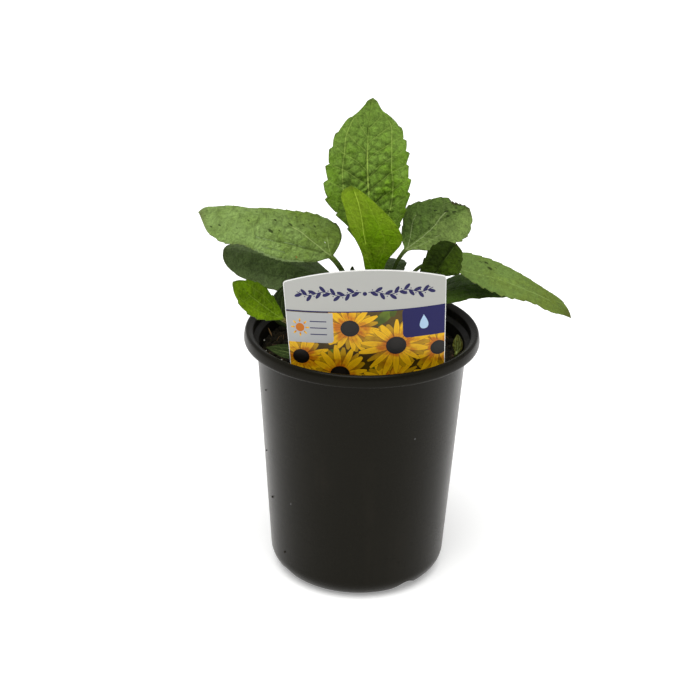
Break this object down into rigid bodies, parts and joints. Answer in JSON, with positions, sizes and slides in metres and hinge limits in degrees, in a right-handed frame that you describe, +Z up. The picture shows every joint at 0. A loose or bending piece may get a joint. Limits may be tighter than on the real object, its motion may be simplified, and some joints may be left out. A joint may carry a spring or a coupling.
{
  "type": "potted black-eyed susan",
  "caption": "Young black-eyed susan with toothed green leaves on long stalks, rooted in soil in a black plastic nursery pot with a bent plastic picture label.",
  "frame": {"origin": "centre of the pot's flat base, on its underside", "axes": "+Z up, -Y towards the printed face of the label and the viewer, +X to the viewer's right"},
  "size_m": [0.1778, 0.115, 0.2352],
  "materials": {
    "pot_plastic": "moulded black plastic with a soft sheen",
    "potting_soil": "dark peat and bark crumbs",
    "crown_tissue": "fibrous green-brown stem",
    "label_plastic": "printed satin plastic sheet",
    "mature_leaf": "finely hairy quilted leaf",
    "young_leaf": "smooth young leaf"
  },
  "bodies": {
    "root": {"pot": "pot_plastic", "soil": "potting_soil", "crown": "crown_tissue", "label": "label_plastic", "leaf_tall_back": "mature_leaf", "leaf_young": "young_leaf", "leaf_left_upper": "mature_leaf", "leaf_left_lower": "mature_leaf", "leaf_left_small": "young_leaf", "leaf_left_shaded": "mature_leaf", "leaf_right_upper": "mature_leaf", "leaf_right_curled": "mature_leaf", "leaf_right_long": "mature_leaf", "leaf_right_lower": "mature_leaf", "leaf_soil_left": "mature_leaf", "leaf_back": "mature_leaf", "leaf_bud": "mature_leaf", "shoot_right": "young_leaf"}
  },
  "joints": []
}
